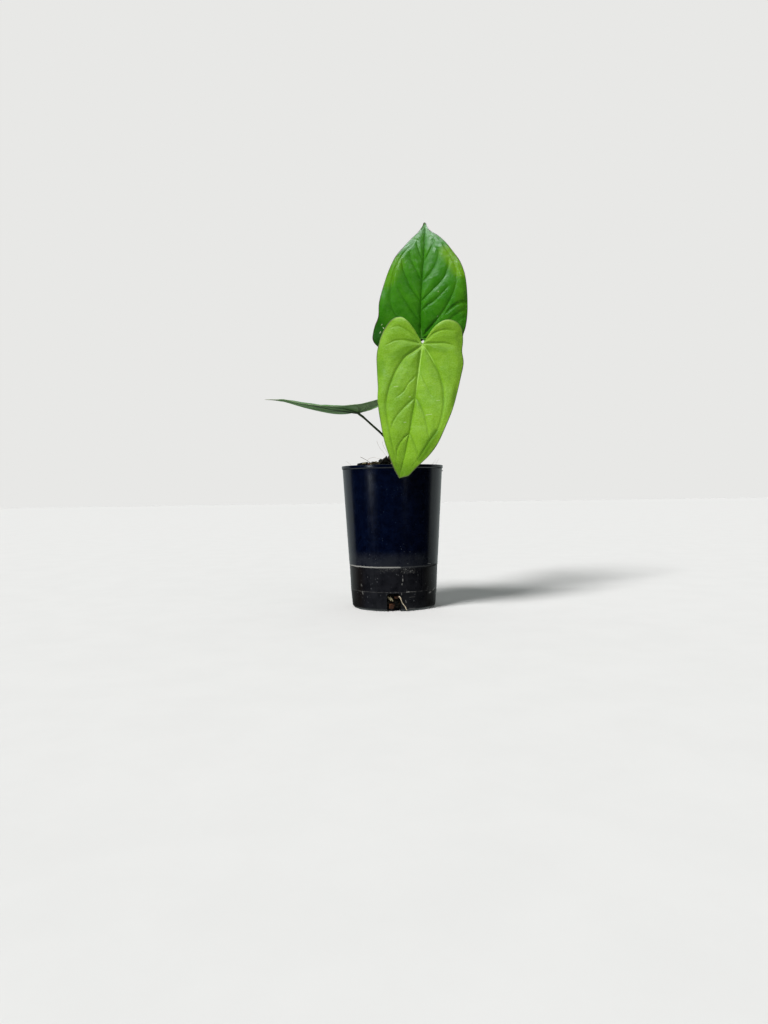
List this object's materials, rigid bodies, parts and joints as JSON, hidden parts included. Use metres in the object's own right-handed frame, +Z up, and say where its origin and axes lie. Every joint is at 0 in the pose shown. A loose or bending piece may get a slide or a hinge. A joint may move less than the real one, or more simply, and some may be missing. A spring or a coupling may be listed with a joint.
{
  "type": "potted anthurium",
  "caption": "Young anthurium with heart-shaped leaves on slender stalks, growing in bark mix in a tall round nursery pot.",
  "frame": {"origin": "centre of the pot's flat underside", "axes": "+Z up along the pot's axis, -Y towards the face of the front leaf, -X along the level leaf"},
  "size_m": [0.187, 0.1289, 0.3637],
  "materials": {
    "pot": "satin black, scuffed",
    "potting_mix": "rough bark",
    "stem": "rough",
    "stalk": "satin",
    "bract": "papery",
    "young_leaf": "satin",
    "mature_leaf": "glossy",
    "root": "matt"
  },
  "bodies": {
    "root": {"pot": "pot", "potting_mix": "potting_mix", "crown": "stem", "petiole_front": "stalk", "petiole_back": "stalk", "petiole_left": "stalk", "bract_1": "bract", "bract_2": "bract", "leaf_front": "young_leaf", "leaf_back": "mature_leaf", "leaf_left": "mature_leaf", "drain_root": "root"}
  },
  "joints": []
}
